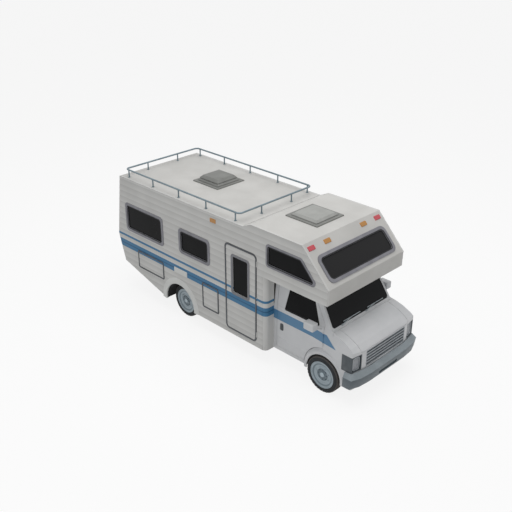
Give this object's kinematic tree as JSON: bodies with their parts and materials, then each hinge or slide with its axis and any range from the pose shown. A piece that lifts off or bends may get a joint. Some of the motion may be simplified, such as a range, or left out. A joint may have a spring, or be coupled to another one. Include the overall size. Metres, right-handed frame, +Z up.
{
  "type": "motorhome",
  "caption": "Road motorhome: a living coach with a bunk over the cab, on a van chassis; wheels turn and steer, doors, hatches, hood and roof vents open.",
  "frame": {"origin": "on the ground under the middle of the overall length and width", "axes": "+X forward, +Y to the left, +Z up"},
  "size_m": [7.155, 2.5, 3.15],
  "materials": {
    "wall_paint": "satin",
    "roof_paint": "satin",
    "bunk_paint": "satin",
    "cab_paint": "gloss",
    "floor_board": "matte",
    "window_frame": "satin",
    "tinted_glass": "gloss",
    "grey_plastic": "satin",
    "lamp_lens": "gloss",
    "marker_lens": "gloss",
    "bumper_steel": "satin",
    "rack_tube": "satin",
    "vent_plastic": "matte",
    "black_plastic": "matte",
    "seat_fabric": "matte",
    "frame_steel": "satin",
    "engine_iron": "matte",
    "exhaust_steel": "satin",
    "wheel_steel": "satin",
    "tyre_rubber": "matte"
  },
  "bodies": {
    "chassis": {"bunk_shell": "bunk_paint", "cab_seats": "seat_fabric", "cab_shell": "cab_paint", "chassis_frame": "frame_steel", "coach_floor": "floor_board", "coach_glass": "tinted_glass", "dashboard": "black_plastic", "driveline": "engine_iron", "engine_block": "engine_iron", "exhaust": "exhaust_steel", "front_axle": "frame_steel", "front_bumper": "bumper_steel", "front_fenders": "cab_paint", "fuel_tank": "frame_steel", "grille": "grey_plastic", "head_lamps": "lamp_lens", "leaf_springs": "frame_steel", "main_roof": "roof_paint", "marker_lamps": "marker_lens", "radiator": "black_plastic", "rear_axle": "frame_steel", "rear_hitch": "frame_steel", "rear_wall": "wall_paint", "roof_rack": "rack_tube", "side_wall_left": "wall_paint", "side_wall_right": "wall_paint", "vent_bases": "vent_plastic", "window_frames": "window_frame", "windscreen": "tinted_glass", "wipers": "black_plastic"},
    "knuckle_right": {"knuckle_right": "engine_iron"},
    "knuckle_left": {"knuckle_left": "engine_iron"},
    "tie_rod": {"tie_rod": "frame_steel"},
    "front_wheel_right": {"tyre_front_right": "tyre_rubber", "rim_front_right": "wheel_steel"},
    "front_wheel_left": {"tyre_front_left": "tyre_rubber", "rim_front_left": "wheel_steel"},
    "rear_wheels_right": {"tyres_rear_right": "tyre_rubber", "rims_rear_right": "wheel_steel"},
    "rear_wheels_left": {"tyres_rear_left": "tyre_rubber", "rims_rear_left": "wheel_steel"},
    "cab_door_right": {"cab_door_right": "cab_paint", "cab_door_glass_right": "tinted_glass"},
    "cab_door_left": {"cab_door_left": "cab_paint", "cab_door_glass_left": "tinted_glass"},
    "entry_door": {"entry_door": "wall_paint", "entry_door_glass": "tinted_glass"},
    "hatch_tail_right": {"hatch_tail_right": "wall_paint"},
    "hatch_tail_left": {"hatch_tail_left": "wall_paint"},
    "hatch_mid_right": {"hatch_mid_right": "wall_paint"},
    "hood": {"hood": "cab_paint"},
    "vent_lid_rear": {"vent_lid_rear": "vent_plastic"},
    "vent_lid_front": {"vent_lid_front": "vent_plastic"}
  },
  "joints": [
    {"name": "steer_right", "type": "hinge", "parent": "chassis", "child": "knuckle_right", "pos_m": [2.7375, -0.835, 0.388], "axis": [0, 0, 1], "range_deg": [-33, 33]},
    {"name": "steer_left", "type": "hinge", "parent": "chassis", "child": "knuckle_left", "pos_m": [2.7375, 0.835, 0.388], "axis": [0, 0, 1], "range_deg": [-33, 33]},
    {"name": "tie_rod_swing", "type": "hinge", "parent": "knuckle_right", "child": "tie_rod", "pos_m": [2.5675, -0.835, 0.266], "axis": [0, 0, 1], "range_deg": [-33, 33]},
    {"name": "front_wheel_right_spin", "type": "hinge", "parent": "knuckle_right", "child": "front_wheel_right", "pos_m": [2.7375, -0.932, 0.388], "axis": [0, 1, 0], "continuous": true},
    {"name": "front_wheel_left_spin", "type": "hinge", "parent": "knuckle_left", "child": "front_wheel_left", "pos_m": [2.7375, 0.932, 0.388], "axis": [0, 1, 0], "continuous": true},
    {"name": "rear_wheels_right_spin", "type": "hinge", "parent": "chassis", "child": "rear_wheels_right", "pos_m": [-1.3425, -0.795, 0.388], "axis": [0, 1, 0], "continuous": true},
    {"name": "rear_wheels_left_spin", "type": "hinge", "parent": "chassis", "child": "rear_wheels_left", "pos_m": [-1.3425, 0.795, 0.388], "axis": [0, 1, 0], "continuous": true},
    {"name": "cab_door_right_swing", "type": "hinge", "parent": "chassis", "child": "cab_door_right", "pos_m": [2.67368, -0.96623, 1.14], "axis": [0, 0, 1], "range_deg": [0, 65]},
    {"name": "cab_door_left_swing", "type": "hinge", "parent": "chassis", "child": "cab_door_left", "pos_m": [2.67368, 0.96623, 1.14], "axis": [0, 0, -1], "range_deg": [0, 65]},
    {"name": "entry_door_swing", "type": "hinge", "parent": "chassis", "child": "entry_door", "pos_m": [1.1025, -1.1795, 1.4525], "axis": [0, 0, 1], "range_deg": [0, 100]},
    {"name": "hatch_tail_right_lift", "type": "hinge", "parent": "chassis", "child": "hatch_tail_right", "pos_m": [-2.373, -1.1795, 1.232], "axis": [-1, 0, 0], "range_deg": [0, 95]},
    {"name": "hatch_tail_left_lift", "type": "hinge", "parent": "chassis", "child": "hatch_tail_left", "pos_m": [-2.373, 1.1795, 1.232], "axis": [1, 0, 0], "range_deg": [0, 95]},
    {"name": "hatch_mid_right_lift", "type": "hinge", "parent": "chassis", "child": "hatch_mid_right", "pos_m": [-0.305, -1.1795, 1.247], "axis": [-1, 0, 0], "range_deg": [0, 95]},
    {"name": "hood_lift", "type": "hinge", "parent": "chassis", "child": "hood", "pos_m": [2.90126, 0, 1.38792], "axis": [0, -1, 0], "range_deg": [0, 50]},
    {"name": "vent_lid_rear_lift", "type": "hinge", "parent": "chassis", "child": "vent_lid_rear", "pos_m": [-1.8155, 0.21, 2.9905], "axis": [0, -1, 0], "range_deg": [0, 70]},
    {"name": "vent_lid_front_lift", "type": "hinge", "parent": "chassis", "child": "vent_lid_front", "pos_m": [1.1895, 0.03, 3.0955], "axis": [0, -1, 0], "range_deg": [0, 70]}
  ],
  "couplings": [
    {"joint": "steer_left", "follows": "steer_right", "ratio": 1},
    {"joint": "tie_rod_swing", "follows": "steer_right", "ratio": -1}
  ]
}
